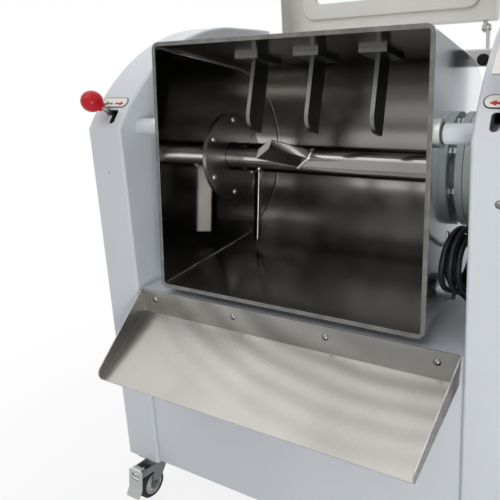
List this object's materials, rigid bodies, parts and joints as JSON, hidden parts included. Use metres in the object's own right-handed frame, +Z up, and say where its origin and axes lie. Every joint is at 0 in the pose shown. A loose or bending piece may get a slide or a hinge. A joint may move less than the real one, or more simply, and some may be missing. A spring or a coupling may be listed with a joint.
{
  "type": "dough mixer",
  "caption": "Floor-standing horizontal dough mixer: tilting stainless trough with bladed shaft between two white columns, hinged window lid, discharge chute, lock levers and casters.",
  "frame": {"origin": "on the floor under the middle of the machine's outline", "axes": "+Z up, -Y to the front where the trough tips and the chute is, +X to the machine's right as seen from the front"},
  "size_m": [0.804, 0.7013, 1.4639],
  "materials": {
    "white_paint": "semi-gloss powder coat",
    "stainless": "brushed",
    "polished_steel": "polished",
    "machined_steel": "machined",
    "cast_grey": "machined cast iron",
    "zinc": "zinc plated",
    "knob_red": "glossy",
    "button_red": "glossy",
    "button_green": "glossy",
    "black_plastic": "matt",
    "black_rubber": "matt",
    "tyre_black": "matt",
    "cord_black": "matt sheath",
    "clear": "clear sheet",
    "motor_grey": "painted casting"
  },
  "bodies": {
    "base": {"left_column": "white_paint", "right_column": "white_paint", "side_covers": "white_paint", "frame_plates": "machined_steel", "base_frame": "zinc", "front_panel": "white_paint", "rear_panel": "white_paint", "deck_plate": "white_paint", "chute": "stainless", "panel_screws": "zinc", "bearing_housings": "cast_grey", "lock_guides": "cast_grey", "lid_crossbar": "stainless", "lid_hinge_pins": "zinc", "stop_bumpers": "black_rubber", "limit_switch": "black_plastic", "control_plate": "stainless", "button_bezels": "zinc", "motor": "motor_grey", "drive_belt": "black_rubber", "cord_gland": "black_plastic", "cord_hook": "zinc", "cord_leads": "cord_black", "cord_coil": "cord_black", "power_plug": "black_plastic", "caster_plates": "zinc", "rear_caster_forks": "zinc"},
    "trough": {"trough_shell": "polished_steel", "dough_bars": "polished_steel", "trunnion_flanges": "cast_grey", "trunnion_journals": "cast_grey", "flange_bolts": "zinc", "seal_discs": "polished_steel", "seal_disc_bolts": "zinc", "lock_cups": "machined_steel"},
    "agitator": {"agitator_shaft": "polished_steel", "kneading_blades": "polished_steel", "main_gear": "cast_grey"},
    "countershaft": {"countershaft": "machined_steel", "large_pulley": "cast_grey"},
    "motor_rotor": {"motor_pulley": "cast_grey"},
    "lid": {"lid_pan": "stainless", "window_frame": "stainless", "lid_window": "clear", "lid_handle": "stainless"},
    "left_lock": {"left_lock_pin": "white_paint", "left_knob": "knob_red"},
    "right_lock": {"right_lock_pin": "white_paint", "right_knob": "knob_red"},
    "start_button": {"start_button": "button_green"},
    "stop_button": {"stop_button": "button_red"},
    "emergency_button": {"emergency_button": "button_red"},
    "front_left_caster": {"front_left_fork": "zinc"},
    "front_right_caster": {"front_right_fork": "zinc"},
    "front_left_wheel": {"front_left_wheel": "tyre_black"},
    "front_right_wheel": {"front_right_wheel": "tyre_black"},
    "rear_left_wheel": {"rear_left_wheel": "tyre_black"},
    "rear_right_wheel": {"rear_right_wheel": "tyre_black"},
    "front_left_pedal": {"front_left_pedal": "zinc"},
    "front_right_pedal": {"front_right_pedal": "zinc"}
  },
  "joints": [
    {"name": "trough_tilt", "type": "hinge", "parent": "base", "child": "trough", "pos_m": [0, 0.02653, 0.717], "axis": [1, 0, 0], "range_deg": [-85.5, 0]},
    {"name": "agitator_spin", "type": "hinge", "parent": "base", "child": "agitator", "pos_m": [0, 0.02653, 0.717], "axis": [1, 0, 0], "continuous": true},
    {"name": "countershaft_spin", "type": "hinge", "parent": "base", "child": "countershaft", "pos_m": [0.35, 0.02653, 0.5295], "axis": [1, 0, 0], "continuous": true},
    {"name": "motor_spin", "type": "hinge", "parent": "base", "child": "motor_rotor", "pos_m": [0.35, 0.08653, 0.186], "axis": [1, 0, 0], "continuous": true},
    {"name": "lid_hinge", "type": "hinge", "parent": "base", "child": "lid", "pos_m": [0, 0.27407, 0.96894], "axis": [1, 0, 0], "range_deg": [0, 90]},
    {"name": "left_lock_slide", "type": "slide", "parent": "base", "child": "left_lock", "axis": [1, 0, 0], "range_m": [0, 0.014]},
    {"name": "right_lock_slide", "type": "slide", "parent": "base", "child": "right_lock", "axis": [-1, 0, 0], "range_m": [0, 0.014]},
    {"name": "start_press", "type": "slide", "parent": "base", "child": "start_button", "axis": [0, 0.454, -0.891], "range_m": [0, 0.004], "stiffness_N_per_m": 900},
    {"name": "stop_press", "type": "slide", "parent": "base", "child": "stop_button", "axis": [0, 0.5446, -0.8387], "range_m": [0, 0.004], "stiffness_N_per_m": 900},
    {"name": "emergency_press", "type": "slide", "parent": "base", "child": "emergency_button", "axis": [0, 0.6293, -0.7771], "range_m": [0, 0.004], "stiffness_N_per_m": 900},
    {"name": "front_left_swivel", "type": "hinge", "parent": "base", "child": "front_left_caster", "pos_m": [-0.35, -0.18547, 0.088], "axis": [0, 0, 1], "continuous": true},
    {"name": "front_left_roll", "type": "hinge", "parent": "front_left_caster", "child": "front_left_wheel", "pos_m": [-0.35, -0.21547, 0.031], "axis": [1, 0, 0], "continuous": true},
    {"name": "front_left_brake", "type": "hinge", "parent": "front_left_caster", "child": "front_left_pedal", "pos_m": [-0.35, -0.24147, 0.077], "axis": [1, 0, 0], "range_deg": [0, 14]},
    {"name": "rear_left_roll", "type": "hinge", "parent": "base", "child": "rear_left_wheel", "pos_m": [-0.35, 0.25207, 0.031], "axis": [1, 0, 0], "continuous": true},
    {"name": "front_right_swivel", "type": "hinge", "parent": "base", "child": "front_right_caster", "pos_m": [0.35, -0.18547, 0.088], "axis": [0, 0, 1], "continuous": true},
    {"name": "front_right_roll", "type": "hinge", "parent": "front_right_caster", "child": "front_right_wheel", "pos_m": [0.35, -0.21547, 0.031], "axis": [1, 0, 0], "continuous": true},
    {"name": "front_right_brake", "type": "hinge", "parent": "front_right_caster", "child": "front_right_pedal", "pos_m": [0.35, -0.24147, 0.077], "axis": [1, 0, 0], "range_deg": [0, 14]},
    {"name": "rear_right_roll", "type": "hinge", "parent": "base", "child": "rear_right_wheel", "pos_m": [0.35, 0.25207, 0.031], "axis": [1, 0, 0], "continuous": true}
  ],
  "couplings": [
    {"joint": "countershaft_spin", "follows": "agitator_spin", "ratio": -4},
    {"joint": "motor_spin", "follows": "agitator_spin", "ratio": -16}
  ]
}
